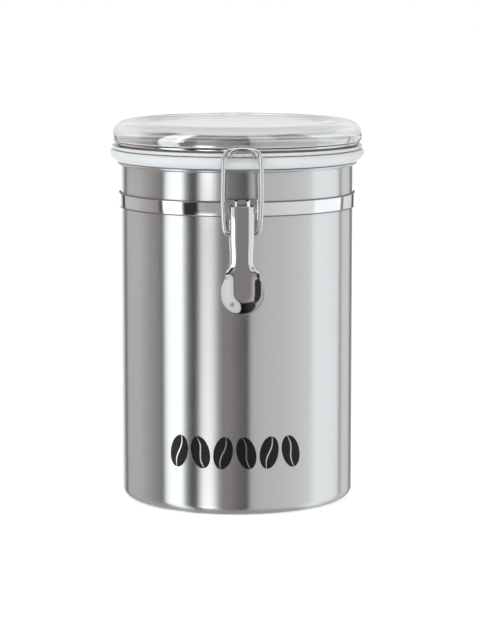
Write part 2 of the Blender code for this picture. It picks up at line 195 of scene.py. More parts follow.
def math_node(tree, operation, first, second=None):
    """A Math node of two values or sockets, and its output."""
    node = tree.nodes.new("ShaderNodeMath")
    node.operation = operation
    for socket, value in zip(node.inputs, (first, second)):
        if value is None:
            continue
        if isinstance(value, bpy.types.NodeSocket):
            tree.links.new(value, socket)
        else:
            socket.default_value = value
    return node.outputs[0]


def noise_node(tree, vector, scale, detail=2.0, roughness=0.5):
    """A 3D noise read at this vector, and its value."""
    node = tree.nodes.new("ShaderNodeTexNoise")
    node.inputs["Scale"].default_value = scale
    node.inputs["Detail"].default_value = detail
    node.inputs["Roughness"].default_value = roughness
    tree.links.new(vector, node.inputs["Vector"])
    return node.outputs["Fac"]


def object_place(tree):
    """Where the shaded point lies on its object."""
    return tree.nodes.new("ShaderNodeTexCoord").outputs["Object"]


def split(tree, vector):
    """The vector's X, Y and Z."""
    parts = tree.nodes.new("ShaderNodeSeparateXYZ")
    tree.links.new(vector, parts.inputs[0])
    return parts.outputs


def mapped(tree, vector, scale):
    """The vector stretched by a scale of three numbers."""
    node = tree.nodes.new("ShaderNodeMapping")
    node.inputs["Scale"].default_value = scale
    tree.links.new(vector, node.inputs["Vector"])
    return node.outputs["Vector"]


def ranged(tree, value, low, high, out_low, out_high):
    """A value carried from one range to another, and held inside it."""
    node = tree.nodes.new("ShaderNodeMapRange")
    tree.links.new(value, node.inputs["Value"])
    for name, number in zip(("From Min", "From Max", "To Min", "To Max"), (low, high, out_low, out_high)):
        node.inputs[name].default_value = number
    return node.outputs["Result"]


def mix_colour(tree, share, first, second):
    """A mix of two colours by a share socket."""
    node = tree.nodes.new("ShaderNodeMix")
    node.data_type = "RGBA"
    tree.links.new(share, node.inputs["Factor"])
    for socket, colour in ((node.inputs["A"], first), (node.inputs["B"], second)):
        if isinstance(colour, bpy.types.NodeSocket):
            tree.links.new(colour, socket)
        else:
            socket.default_value = (*colour, 1)
    return node.outputs["Result"]


def scaled_colour(tree, colour, factor):
    """A colour socket times a value socket."""
    node = tree.nodes.new("ShaderNodeVectorMath")
    node.operation = "SCALE"
    tree.links.new(colour, node.inputs[0])
    tree.links.new(factor, node.inputs["Scale"])
    return node.outputs[0]


def product(tree, *factors):
    """All the factors multiplied."""
    value = factors[0]
    for factor in factors[1:]:
        value = math_node(tree, "MULTIPLY", value, factor)
    return value


def window(tree, value, low, high, soft):
    """1 while the value lies between two limits, with soft ends."""
    rise = ranged(tree, value, low, low + soft, 0.0, 1.0)
    fall = ranged(tree, value, high - soft, high, 1.0, 0.0)
    return product(tree, rise, fall)


def grey(level):
    """A neutral colour."""
    return (level, level, level)


def vary(tree, shader, noise, colours, roughness, spread=(0.3, 0.7)):
    """Base colour and roughness that wander between two values with a noise."""
    tree.links.new(mix_colour(tree, noise, *colours), shader.inputs["Base Color"])
    tree.links.new(ranged(tree, noise, *spread, *roughness), shader.inputs["Roughness"])


def bump(tree, shader, height, distance, strength=1.0):
    """Bump from a height socket, linked to the shader's normal."""
    node = tree.nodes.new("ShaderNodeBump")
    node.inputs["Strength"].default_value = strength
    node.inputs["Distance"].default_value = distance
    tree.links.new(height, node.inputs["Height"])
    tree.links.new(node.outputs["Normal"], shader.inputs["Normal"])


# ---------------------------------------------------------------- materials

# How many haze marks to a metre, and the shared colours and optics
POLISH_HAZE = 260.0
BAND_HAZE = 90.0
# The next colour is the painted shade of the band's edge lines
EDGE_SHADE_COLOUR = (0.20, 0.195, 0.19)
PLASTIC_IOR = 1.49
SKIN_IOR = 3.6


def brushed_steel(name, roughness):
    """Steel with fine brush lines that run round the body."""
    material, tree, shader = shader_tree(name)
    place = object_place(tree)
    lines = noise_node(tree, mapped(tree, place, (26, 26, 5200)), 1.0, 3.0, 0.65)
    grain = noise_node(tree, mapped(tree, place, (120, 120, 3600)), 1.0, 2.0, 0.6)
    patches = noise_node(tree, place, 24.0, 2.0)
    streak = product(tree, math_node(tree, "ADD", lines, grain), 0.5)
    shade = mix_colour(tree, streak, grey(0.56), grey(0.70))
    tree.links.new(shade, shader.inputs["Base Color"])
    rough = ranged(tree, streak, 0.2, 0.8, roughness - 0.02, roughness + 0.03)
    rough = math_node(tree, "ADD", rough, ranged(tree, patches, 0.3, 0.7, -0.005, 0.005))
    tree.links.new(rough, shader.inputs["Roughness"])
    shader.inputs["Metallic"].default_value = 1.0
    shader.inputs["Anisotropic"].default_value = 0.95
    shader.inputs["Anisotropic Rotation"].default_value = 0.25
    tangent = tree.nodes.new("ShaderNodeTangent")
    tangent.direction_type = "RADIAL"
    tangent.axis = "Z"
    tree.links.new(tangent.outputs["Tangent"], shader.inputs["Tangent"])
    bump(tree, shader, streak, 0.002 * MM, 0.11)
    return material


def polished_steel(name, roughness=0.035, low=0.74, high=0.82):
    """Bright steel with a slight polish haze and handling marks."""
    material, tree, shader = shader_tree(name)
    place = object_place(tree)
    haze = noise_node(tree, place, POLISH_HAZE, 4.0, 0.6)
    vary(tree, shader, haze, (grey(low), grey(high)), (roughness, roughness + 0.04), (0.35, 0.75))
    shader.inputs["Metallic"].default_value = 1.0
    bump(tree, shader, haze, 0.01 * MM, 0.12)
    return material


def band_steel(name):
    """Polished steel with a painted shade line along both of the band's edges, where the gap to the body
    falls in shadow.
    """
    material, tree, shader = shader_tree(name)
    place = object_place(tree)
    haze = noise_node(tree, place, BAND_HAZE, 4.0, 0.6)
    shade = mix_colour(tree, haze, grey(0.74), grey(0.82))
    height = split(tree, place)["Z"]
    # Painted shade: dark and rougher near both edges of the band, plain polish between
    unshaded = window(tree, height, BAND_LOW.z + EDGE_SHADE_LOW, BAND_HIGH.z - EDGE_SHADE_HIGH, EDGE_SHADE_FADE)
    shade = mix_colour(tree, unshaded, EDGE_SHADE_COLOUR, shade)
    tree.links.new(shade, shader.inputs["Base Color"])
    rough = ranged(tree, unshaded, 0.0, 1.0, 0.40, 0.06)
    tree.links.new(rough, shader.inputs["Roughness"])
    shader.inputs["Metallic"].default_value = 1.0
    bump(tree, shader, haze, 0.01 * MM, 0.12)
    return material


def clear_plastic(name, skin=0.0):
    """Clear moulded lid, with a glossier skin outside."""
    material, tree, shader = shader_tree(name)
    place = object_place(tree)
    flow = noise_node(tree, place, 60.0, 2.0)
    shader.inputs["Base Color"].default_value = (0.985, 0.985, 0.985, 1)
    shader.inputs["Transmission Weight"].default_value = 0.90
    shader.inputs["IOR"].default_value = PLASTIC_IOR
    shader.inputs["Coat Weight"].default_value = skin
    shader.inputs["Coat IOR"].default_value = SKIN_IOR
    shader.inputs["Coat Roughness"].default_value = 0.02
    tree.links.new(ranged(tree, flow, 0.3, 0.7, 0.02, 0.05), shader.inputs["Roughness"])
    return material


def frosted_plastic(name):
    """The lid's flange, which is moulded with a fine grain."""
    material, tree, shader = shader_tree(name)
    place = object_place(tree)
    grain = noise_node(tree, place, 900.0, 2.0)
    vary(tree, shader, grain, ((0.88, 0.87, 0.865), (0.95, 0.945, 0.94)), (0.12, 0.25))
    shader.inputs["Transmission Weight"].default_value = 0.35
    shader.inputs["IOR"].default_value = PLASTIC_IOR
    return material


def satin_plastic(name):
    """The lid's recessed disc, which has an even satin face."""
    material, tree, shader = shader_tree(name)
    place = object_place(tree)
    cloud = noise_node(tree, place, 18.0, 1.0)
    vary(tree, shader, cloud, ((0.80, 0.795, 0.795), grey(0.83)), (0.42, 0.46))
    shader.inputs["Transmission Weight"].default_value = 0.10
    shader.inputs["IOR"].default_value = PLASTIC_IOR
    return material


def silicone(name):
    """Milky white silicone."""
    material, tree, shader = shader_tree(name)
    place = object_place(tree)
    cloud = noise_node(tree, place, 90.0, 3.0)
    vary(tree, shader, cloud, ((0.58, 0.615, 0.635), (0.64, 0.662, 0.675)), (0.28, 0.40))
    shader.inputs["Subsurface Weight"].default_value = 0.35
    shader.inputs["Subsurface Radius"].default_value = (1.0, 1.0, 1.0)
    shader.inputs["Subsurface Scale"].default_value = 1.5 * MM
    bump(tree, shader, cloud, 0.02 * MM, 0.2)
    return material


def black_ink(name):
    """Glossy black print."""
    material, tree, shader = shader_tree(name)
    place = object_place(tree)
    grain = noise_node(tree, mapped(tree, place, (20, 20, 900)), 1.0, 2.0)
    vary(tree, shader, grain, (grey(0.003), grey(0.007)), (0.24, 0.32))
    shader.inputs["Specular IOR Level"].default_value = 0.25
    return material


def pale_floor(name):
    """Plain white studio floor."""
    material, tree, shader = shader_tree(name)
    place = object_place(tree)
    tone = noise_node(tree, place, 3.0, 1.0)
    shade = mix_colour(tree, tone, grey(0.93), grey(0.95))
    tree.links.new(shade, shader.inputs["Base Color"])
    shader.inputs["Emission Color"].default_value = (1, 1, 1, 1)
    shader.inputs["Emission Strength"].default_value = 0.55
    shader.inputs["Roughness"].default_value = 0.9
    shader.inputs["Specular IOR Level"].default_value = 0.0
    return material


# ---------------------------------------------------------------- mesh helpers

# Half the angle between two sides that are left unrounded, and the width of a wire's domed end at
# each share of its length
STRAIGHT_ENOUGH = math.radians(84)
DOME = ((-0.98, 0.35), (-0.75, 0.75), (-0.3, 0.96))
DOME_LENGTH = 0.8


def arc(centre, radius, start, end, steps):
    """Points along an arc, both ends included, angles in degrees."""
    points = []
    for i in range(steps + 1):
        angle = math.radians(start + (end - start) * i / steps)
        points.append((centre[0] + radius * math.cos(angle), centre[1] + radius * math.sin(angle)))
    return points


def softened(profile, bend, steps=4, closed=False):
    """The outline with each corner rounded to this radius, or less where its sides are short.

    A corner that turns by less than 12 degrees stays as it is.
    """
    points = [Vector(p) for p in profile]
    count = len(points)
    inner = range(count) if closed else range(1, count - 1)
    path = [] if closed else [points[0]]
    for i in inner:
        corner = points[i]
        into = points[i - 1] - corner
        out = points[(i + 1) % count] - corner
        half = into.angle(out) / 2
        if half > STRAIGHT_ENOUGH:
            path.append(corner)
            continue
        reach = min(bend / math.tan(half), 0.48 * into.length, 0.48 * out.length)
        start = corner + into.normalized() * reach
        end = corner + out.normalized() * reach
        for k in range(steps + 1):
            t = k / steps
            path.append(start * (1 - t) ** 2 + corner * 2 * t * (1 - t) + end * t**2)
    if not closed:
        path.append(points[-1])
    return path


def finish_mesh(obj, material, sharp=40):
    """Smooth shading between sharp edges, and the material."""
    obj.data.shade_smooth()
    obj.data.set_sharp_from_angle(angle=math.radians(sharp))
    obj.data.materials.clear()
    obj.data.materials.append(material)
    return obj


def mesh_piece(name, verts, faces, material, sharp=40):
    """An object from points and faces."""
    mesh = bpy.data.meshes.new(name)
    mesh.from_pydata([tuple(v) for v in verts], [], faces)
    mesh.update()
    obj = bpy.data.objects.new(name, mesh)
    bpy.context.scene.collection.objects.link(obj)
    return finish_mesh(obj, material, sharp)


def lathe(name, profile, material, closed=False, steps=TURN_STEPS, sharp=40):
    """A solid turned about Z. Its (radius, height) profile runs down the outer side."""
    profile = [(p[0], p[1]) for p in profile]
    verts = []
    rows = []
    for radius, height in profile:
        if radius < 1e-6:
            rows.append([len(verts)] * steps)
            verts.append((0, 0, height))
            continue
        rows.append(list(range(len(verts), len(verts) + steps)))
        for j in range(steps):
            angle = 2 * math.pi * j / steps
            verts.append((radius * math.cos(angle), radius * math.sin(angle), height))
    pairs = list(zip(rows, rows[1:]))
    if closed:
        pairs.append((rows[-1], rows[0]))
    faces = []
    for upper, lower in pairs:
        for j in range(steps):
            k = (j + 1) % steps
            face = list(dict.fromkeys((upper[j], lower[j], lower[k], upper[k])))
            if len(face) > 2:
                faces.append(face)
    return mesh_piece(name, verts, faces, material, sharp)


def smooth_path(points, per=5):
    """A Catmull-Rom curve through the points."""
    points = [Vector(p) for p in points]
    ends = [2 * points[0] - points[1], *points, 2 * points[-1] - points[-2]]
    path = []
    for a, b, c, d in zip(ends, ends[1:], ends[2:], ends[3:]):
        for k in range(per):
            t = k / per
            bend = (2 * a - 5 * b + 4 * c - d) * t**2
            swing = (3 * b - a - 3 * c + d) * t**3
            path.append(0.5 * (2 * b + (c - a) * t + bend + swing))
    path.append(points[-1])
    return path


def wire(name, path, radius, material, sides=20):
    """A round wire swept along a path, with domed ends."""
    path = [Vector(p) for p in path]
    verts = []
    rings = []
    heading = (path[1] - path[0]).normalized()
    side = heading.orthogonal().normalized()
    reach = DOME_LENGTH * radius
    stations = [(path[0] + heading * (1 + s) * reach, w, heading) for s, w in DOME]
    for before, here, after in zip(path, path[1:], path[2:]):
        stations.append((here, 1.0, (after - before).normalized()))
    last = (path[-1] - path[-2]).normalized()
    stations += [(path[-1] - last * (1 + s) * reach, w, last) for s, w in reversed(DOME)]
    for point, width, heading in stations:
        side = (side - heading * side.dot(heading)).normalized()
        up = heading.cross(side)
        rings.append(len(verts))
        for j in range(sides):
            angle = 2 * math.pi * j / sides
            verts.append(point + (side * math.cos(angle) + up * math.sin(angle)) * radius * width)
    faces = []
    for a, b in zip(rings, rings[1:]):
        for j in range(sides):
            k = (j + 1) % sides
            faces.append((a + j, a + k, b + k, b + j))
    faces.append([rings[0] + j for j in reversed(range(sides))])
    faces.append([rings[-1] + j for j in range(sides)])
    return mesh_piece(name, verts, faces, material)


def put(piece, body, slot, *nodes):
    """The piece rides on a body and stands for these CAD nodes. Its slot is not used."""
    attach(piece, body)
    if nodes:
        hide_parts(*nodes)
    return piece


# ---------------------------------------------------------------- the canister


def make_body(material):
    """Drawn cup with its round bottom edge, the fine seam in that edge, and the rolled rim."""
    inside = BODY_RADIUS - BODY_WALL
    edge_centre = (BODY_RADIUS - BASE_EDGE, BASE_EDGE)
    rim_bottom = RIM_TOP - RIM_HEIGHT
    rim_round = RIM_HEIGHT / 2
    base_rows = (0, edge_centre[0] * 0.5, edge_centre[0] * 0.96)
    seam_start, seam_end = SEAM_ENDS
    fillet = RIM_FILLET
    profile = [(radius, BODY_WALL) for radius in base_rows]
    profile += arc(edge_centre, BASE_EDGE - BODY_WALL, -90, 0, 14)
    profile += [(inside, height) for height in (*ROWS_UP_INSIDE, RIM_TOP - 1.2 * fillet)]
    profile += arc((inside + fillet, RIM_TOP - fillet), fillet, 180, 90, 5)
    profile += arc((RIM_RADIUS - rim_round, RIM_TOP - rim_round), rim_round, 90, -90, 12)
    profile += arc((BODY_RADIUS + fillet, rim_bottom - fillet), fillet, 90, 180, 5)
    profile += [(BODY_RADIUS, height) for height in ROWS_DOWN_OUTSIDE]
    profile += arc(edge_centre, BASE_EDGE, 0, seam_start + 1, 14)
    profile += arc(edge_centre, BASE_EDGE - SEAM, seam_start, seam_end, 2)
    profile += arc(edge_centre, BASE_EDGE, seam_end - 1, -90, 6)
    profile += [(radius, 0) for radius in reversed(base_rows)]
    body = lathe("brushed_steel_cup", profile, material)
    return put(body, "canister", "brushed_body", "canister_body")


def make_band(material):
    """Polished strip round the body."""
    inner = BODY_RADIUS + BAND_GAP
    outer = BAND_HIGH.x
    low, high = BAND_LOW.z, BAND_HIGH.z
    corners = [(inner, low), (inner, high), (outer, high), (outer, low)]
    profile = softened(corners, BAND_CORNER, 4, closed=True)
    band = lathe("polished_band", profile, material, closed=True)
    return put(band, "canister", "polished_steel", "clamp_band")


def lid_profile():
    """The clear lid's outline: out along the top, down to the plug, and back inside."""
    centre = (SHOULDER_RADIUS - SHOULDER_ROUND, LID_TOP - SHOULDER_ROUND)
    recess_top = DISC_RADIUS + RECESS_SLOPE
    groove_top = RING_Z + GROOVE_HALF_HEIGHT
    groove_low = RING_Z - GROOVE_HALF_HEIGHT
    outside = [(DISC_RADIUS, DISC_Z), (recess_top + LIP_SPREAD, LID_TOP)]
    outside += arc(centre, SHOULDER_ROUND, 90, -14, 26)
    outside += [(GROOVE_RADIUS, groove_top), (GROOVE_RADIUS, groove_low), (FLANGE_RADIUS, groove_low)]
    outside += [(FLANGE_RADIUS, FLANGE_BOTTOM), (PLUG_RADIUS, FLANGE_BOTTOM), (PLUG_RADIUS, PLUG_BOTTOM)]
    inner = PLUG_RADIUS - LID_WALL
    inside = [(inner, PLUG_BOTTOM), (inner, groove_top - GROOVE_STEP_INSIDE)]
    inside += arc(centre, SHOULDER_ROUND - LID_WALL, -35, 90, 16)
    inside += [(recess_top + LIP_SPREAD_INSIDE, LID_TOP - LID_WALL)]
    inside += [(DISC_RADIUS - DISC_STEP_INSIDE, DISC_Z - LID_WALL)]
    on_disc = DISC_RADIUS * 0.9
    corners = [(on_disc, DISC_Z), *outside, *inside, (on_disc, DISC_Z - LID_WALL)]
    return [(0, DISC_Z), *softened(corners, LID_CORNER, 4), (0, DISC_Z - LID_WALL)]


LID_FINISHES = ("clear inside", "glossy skin", "frosted flange", "satin disc")


def radial_share(face):
    """How far a face looks away from the axis."""
    away = Vector((face.center.x, face.center.y, 0)).normalized()
    return face.normal.dot(away)


def lid_finish(face):
    """Which of the lid's finishes a face has: clear inside, glossy skin, frosted flange or satin disc."""
    tilted = 0.3
    radial = radial_share(face)
    outward = face.normal.z if abs(face.normal.z) > tilted else radial
    if face.normal.z > 0.9 and math.hypot(face.center.x, face.center.y) < DISC_RADIUS:
        return LID_FINISHES.index("satin disc")
    in_groove = radial > tilted and abs(face.center.z - RING_Z) < GROOVE_HALF_HEIGHT
    on_flange = radial > tilted and FLANGE_BOTTOM < face.center.z < RING_Z
    if outward > 0 and (in_groove or on_flange):
        return LID_FINISHES.index("frosted flange")
    if outward > 0 and face.center.z > RING_Z:
        return LID_FINISHES.index("glossy skin")
    return LID_FINISHES.index("clear inside")


def make_lid(material):
    """Clear lid with a glossy skin, a frosted flange and a satin disc."""
    lid = lathe("clear_lid", lid_profile(), material, sharp=60)
    lid.data.materials.append(clear_plastic("clear_plastic_skin", 1.0))
    lid.data.materials.append(frosted_plastic("frosted_flange"))
    lid.data.materials.append(satin_plastic("satin_disc"))
    for face in lid.data.polygons:
        face.material_index = lid_finish(face)
    return put(lid, "lid", "clear_lid", "lid_shell")


def make_gasket(material):
    """Silicone ring with a rounded bulge."""
    low, high, outer = GASKET_LOW.z, GASKET_HIGH.z, GASKET_HIGH.x
    bulge = [
        (GASKET_FOOT, low),
        (outer - 1.5 * MM, low + 1.2 * MM),
        (outer - 0.4 * MM, low + 2.6 * MM),
        (outer, low + 3.9 * MM),
        (outer - 0.2 * MM, high - 0.7 * MM),
        (outer - 0.9 * MM, high),
    ]
    corners = [(GASKET_INNER, low), (GASKET_INNER, high), *reversed(bulge)]
    profile = softened(corners, GASKET_CORNER, 5, closed=True)
    gasket = lathe("silicone_gasket", profile, material, closed=True)
    return put(gasket, "lid", "gasket", "lid_gasket")


def mirrored(points):
    """The same points on the other side of X = 0."""
    return [Vector((-p.x, p.y, p.z)) for p in points]


def catch_points():
    """Half of the catch on +X: under the bail's bar from behind it, and up in front of it."""
    points = []
    for degrees in range(*CATCH_TURN):
        angle = math.radians(degrees)
        reach = CATCH_WRAP * math.cos(angle)
        rise = CATCH_WRAP * math.sin(angle) - CATCH_DROP
        points.append(BAR + Vector((CATCH_HALF, -reach, rise)))
    for x, rise in CATCH_ARCH:
        points.append(BAR + Vector((x * MM, -CATCH_WRAP, rise * MM)))
    return points


def ring_points():
    """Half of the lid's wire on +X, from the catch round the groove to the end of the rear eye."""
    leave = math.asin((CATCH_HALF + RING_BEND) / RING_RADIUS)
    arrive = math.pi - math.asin((EYE_X + RING_BEND) / RING_RADIUS)
    ring = []
    steps = 48
    for i in range(steps + 1):
        angle = leave + (arrive - leave) * i / steps
        ring.append(Vector((RING_RADIUS * math.sin(angle), -RING_RADIUS * math.cos(angle), RING_Z)))
    out_of_ring = [
        Vector((CATCH_HALF, BAR.y + 4.0 * MM, RING_Z)),
        Vector((CATCH_HALF + 0.4 * MM, -(RING_RADIUS + 0.9 * MM), RING_Z)),
        Vector((CATCH_HALF + 1.2 * MM, -(RING_RADIUS + 0.1 * MM), RING_Z)),
    ]
    into_eye = [
        Vector((EYE_X + 1.1 * MM, RING_RADIUS + 0.1 * MM, RING_Z)),
        Vector((EYE_X + 0.3 * MM, RING_RADIUS + 1.0 * MM, RING_Z)),
        Vector((EYE_X, RING_RADIUS + 2.4 * MM, RING_Z)),
    ]
    eye = []
    eye_steps = 16
    for i in range(eye_steps + 1):
        angle = EYE_TURN * i / eye_steps
        turn = Vector((0, math.sin(angle), math.cos(angle))) * EYE_RADIUS
        eye.append(LID_PIVOT + Vector((EYE_X, 0, 0)) + turn)
    return list(reversed(catch_points())) + out_of_ring + ring + into_eye + eye


def make_ring_wire(material):
    """One wire: the catch, the ring in the groove and the two rear eyes."""
    half = ring_points()
    path = smooth_path(mirrored(reversed(half)) + half, 4)
    ring = wire("lid_wire_with_catch", path, WIRE, material)
    return put(ring, "lid", "polished_steel", "lid_ring_wire")


def make_bail(material):
    """Wire loop from the lever up to the bar in the catch."""
    up = BAR - BAIL_PIVOT
    length = up.length
    rise = up.normalized()
    half = [
        (BAIL_END, 0),
        (BAIL_HALF - BAIL_NARROW, 0),
        (BAIL_HALF - BAIL_NARROW / 3, 0.17 * length),
        (BAIL_HALF, 0.45 * length),
        (BAIL_HALF - BAIL_NARROW / 4, length - BAIL_SHOULDER),
        (BAIL_HALF - BAIL_NARROW, length - 1.8 * MM),
        (CATCH_HALF, length - BAR_ARCH),
        (CATCH_HALF / 2, length - 0.1 * MM),
        (0, length),
    ]
    left = [BAIL_PIVOT + Vector((-x, 0, 0)) + rise * s for x, s in half]
    right = mirrored(reversed(left[:-1]))
    path = smooth_path(softened(left + right, BAIL_BEND, 6), 2)
    bail = wire("wire_bail", path, BAIL_WIRE, material)
    return put(bail, "bail", "polished_steel", "latch_bail")


def make_hinge_wire(material):
    """Fixed wire at the back that carries the lid's eyes."""
    foot = Vector((0, -LEVER_PIVOT.y, LEVER_PIVOT.z))
    corners = [
        foot + Vector((HINGE_FOOT, 0, 0)),
        foot + Vector((HINGE_LEG, 0, 0)),
        LID_PIVOT + Vector((HINGE_LEG, 0, 0)),
        LID_PIVOT,
    ]
    other = mirrored(reversed(corners[:-1]))
    path = softened(corners + other, HINGE_BEND, 8)
    hinge = wire("hinge_wire", path, PIN_RADIUS, material)
    return put(hinge, "canister", "polished_steel", "rear_hinge_wire")


# ---------------------------------------------------------------- lever


def smooth_step(value, low, high):
    """0 below low, 1 above high, and an even S between."""
    t = min(max((value - low) / (high - low), 0), 1)
    return t * t * (3 - 2 * t)


def lever_half_width(drop):
    """Half the lever's width at this distance below its pivot."""
    off_centre = drop - SPOON_CENTRE
    round_half = math.sqrt(max(SPOON_RADIUS**2 - off_centre**2, 0))
    if off_centre > 0:
        return round_half
    neck_half = LEVER_HALF_WIDTH - LEVER_TAPER * smooth_step(drop, *LEVER_TAPER_ENDS)
    return max(round_half, neck_half + FLARE * smooth_step(drop, *FLARE_ENDS))


def bent(past):
    """0 before a bend and the distance past it after, with a round bend between."""
    if abs(past) < LEVER_BEND:
        return (past + LEVER_BEND) ** 2 / (4 * LEVER_BEND)
    return max(0, past)


def folded_back(across, drop):
    """How far the splayed shoulders and the side walls lie behind the lever's face."""
    depth = 0
    slope = 0
    for (start, high), (end, low) in zip(LEVER_FOLDS, LEVER_FOLDS[1:]):
        steeper = (low - high) / (end - start)
        depth += (steeper - slope) * bent(abs(across) - start)
        slope = steeper
    share = LEVER_TOP_SHARE + (1 - LEVER_TOP_SHARE) * smooth_step(drop, *LEVER_TOP_ENDS)
    return depth * share * (1 - smooth_step(drop, *FLANGE_FADES))


def raised_rim(x, drop):
    """How far the dish's sides and bottom stand in front of its flat middle."""
    spread = math.hypot(x, max(drop - SPOON_CENTRE, 0))
    return DISH_RISE * smooth_step(spread, *DISH_SIDE) * smooth_step(drop, *DISH_STARTS)


def lever_surface(across, along):
    """The lever's outer face, with across from -1 to 1 and along from 0 at the top to 1 at the tip."""
    neck_end = FLARE_ENDS[0]
    if along < LEVER_NECK_SHARE:
        drop = -LEVER_ABOVE + (neck_end + LEVER_ABOVE) * along / LEVER_NECK_SHARE
    else:
        turn = (along - LEVER_NECK_SHARE) / (1 - LEVER_NECK_SHARE) * math.pi / 2
        tip = SPOON_CENTRE + LEVER_TIP_SHARE * SPOON_RADIUS
        drop = neck_end + (tip - neck_end) * math.sin(turn) ** LEVER_ROW_POWER
    x = across * lever_half_width(drop)
    forward = LEVER_WEB - folded_back(across, drop) + raised_rim(x, drop)
    return Vector((x, -forward, -drop))


def cross_cutter(radius, centre):
    """A hidden cylinder along X, for a hole."""
    bm = bmesh.new()
    turn = Matrix.Rotation(math.pi / 2, 4, "Y")
    bmesh.ops.create_cone(
        bm, cap_ends=True, segments=40, radius1=radius, radius2=radius, depth=20 * MM, matrix=turn
    )
    mesh = bpy.data.meshes.new("hole")
    bm.to_mesh(mesh)
    bm.free()
    obj = bpy.data.objects.new("hole", mesh)
    obj.location = centre
    bpy.context.scene.collection.objects.link(obj)
    return obj


def apply_modifiers(obj):
    """The object's mesh with its modifiers applied."""
    bpy.context.view_layer.update()
    evaluated = obj.evaluated_get(bpy.context.evaluated_depsgraph_get())
    mesh = bpy.data.meshes.new_from_object(evaluated)
    obj.modifiers.clear()
    obj.data = mesh


def make_lever(material):
    """Pressed lever with its two pairs of holes."""
    bm = bmesh.new()
    bmesh.ops.create_grid(bm, x_segments=56, y_segments=110, size=1)
    for vert in bm.verts:
        vert.co = LEVER_PIVOT + lever_surface(vert.co.x, (1 - vert.co.y) / 2)
    mesh = bpy.data.meshes.new("pressed_lever")
    bm.to_mesh(mesh)
    bm.free()
    lever = bpy.data.objects.new("pressed_lever", mesh)
    bpy.context.scene.collection.objects.link(lever)
    shell = lever.modifiers.new("Sheet", "SOLIDIFY")
    shell.thickness = SHEET
    shell.offset = -1
    shell.use_even_offset = True
    cutters = [cross_cutter(PIN_HOLE, LEVER_PIVOT), cross_cutter(BAIL_HOLE, BAIL_PIVOT)]
    for tool in cutters:
        cut = lever.modifiers.new("Hole", "BOOLEAN")
        cut.operation = "DIFFERENCE"
        cut.object = tool
    apply_modifiers(lever)
    for tool in cutters:
        bpy.data.objects.remove(tool)
    finish_mesh(lever, material, 50)
    return put(lever, "lever", "polished_steel", "latch_lever")


# ---------------------------------------------------------------- print


def bean_half(side, width, height, rows=28, columns=8):
    """One half of a coffee bean's outline, on one side of its crease, as rows of (x, y)."""
    grid = []
    for i in range(rows + 1):
        v = math.sin((-1 + 2 * i / rows) * math.pi / 2)
        half_gap = CREASE_GAP * math.cos(v * math.pi / 2) ** 0.5 + CREASE_LEAST
        crease = CREASE_SWING * math.sin(v * math.pi) + side * half_gap
        rim = side * math.sqrt(max(1 - (BEAN_ROUND * v) ** 2, 0)) * BEAN_ROUND
        row = []
        for j in range(columns + 1):
            across = crease + (rim - crease) * j / columns
            row.append((across * width / 2, v * height / 2))
        grid.append(row)
    return grid


def printed_on_body(x, y, tilt, middle):
    """A point of a drawing, tilted, moved to its middle and wrapped round the body."""
    around = x * math.cos(tilt) - y * math.sin(tilt) + middle.x
    height = x * math.sin(tilt) + y * math.cos(tilt) + middle.y
    skin = BODY_RADIUS + INK
    angle = around / skin
    return (skin * math.sin(angle), -skin * math.cos(angle), height)


def make_beans(material):
    """A printed row of coffee beans, low on the front."""
    verts = []
    faces = []
    for n in range(BEAN_COUNT):
        tilt = math.radians(BEAN_TILTS[n % 2])
        middle = Vector(((n - (BEAN_COUNT - 1) / 2) * BEAN_SPACING, 0)) + BEAN_MIDDLE
        for side in (-1, 1):
            grid = bean_half(side, *BEAN_SIZE)
            first = len(verts)
            for row in grid:
                verts += [printed_on_body(x, y, tilt, middle) for x, y in row]
            columns = len(grid[0])
            for i in range(len(grid) - 1):
                for j in range(columns - 1):
                    a = first + i * columns + j
                    face = (a, a + 1, a + columns + 1, a + columns)
                    faces.append(face if side > 0 else tuple(reversed(face)))
    beans = mesh_piece("bean_print", verts, faces, material)
    thick = beans.modifiers.new("Ink", "SOLIDIFY")
    thick.thickness = INK
    thick.offset = 1
    apply_modifiers(beans)
    finish_mesh(beans, material)
    return put(beans, "canister", "brushed_body")


# ---------------------------------------------------------------- studio


FLOOR_RADIUS = 6.0
FLOOR_GAP = 0.05 * MM


def make_floor(material):
    """A wide round floor."""
    bm = bmesh.new()
    bmesh.ops.create_circle(bm, cap_ends=True, segments=96, radius=FLOOR_RADIUS)
    mesh = bpy.data.meshes.new("studio_floor")
    bm.to_mesh(mesh)
    bm.free()
    floor = bpy.data.objects.new("studio_floor", mesh)
    floor.location.z = -FLOOR_GAP
    floor.visible_glossy = False
    bpy.context.scene.collection.objects.link(floor)
    floor.data.materials.append(material)


# Tall panels that stand round the canister: from where to where in degrees to the right of
# the camera, and the light of each at its start and end
PANELS = (
    (-180, -157, 1.40, 1.10),
    (-152.5, -149.5, 0.62, 0.50),
    (-147, -142.5, 0.04, 0.04),
    (-139.5, -112, 0.60, 0.58),
    (-110, -83, 0.54, 0.32),
    (-80.6, -77.4, 0.12, 0.12),
    (-75, -56.2, 1.75, 1.75),
    (-52.8, -39, 0.035, 0.035),
    (-36, -17.5, 0.52, 0.42),
    (-13, 10.5, 0.27, 0.02),
    (13.5, 79, 0.66, 0.92),
    (82, 120, 1.22, 1.22),
    (122.3, 124.8, 0.20, 0.20),
    (127.5, 147, 0.90, 0.82),
    (151.5, 158, 0.12, 0.12),
    (163.5, 180, 1.40, 1.40),
)
PANEL_SCALE = 2.0
WARM_GREY = (1.04, 0.985, 0.965)
COOL_WHITE = (0.955, 1.0, 1.015)
CEILING = (1.25, 1.25, 1.255)
CEILING_EDGE = (0.80, 0.86)
FLOOR_LIGHT = (0.46, 0.445, 0.44)
FLOOR_EDGE = (-0.82, -0.74)
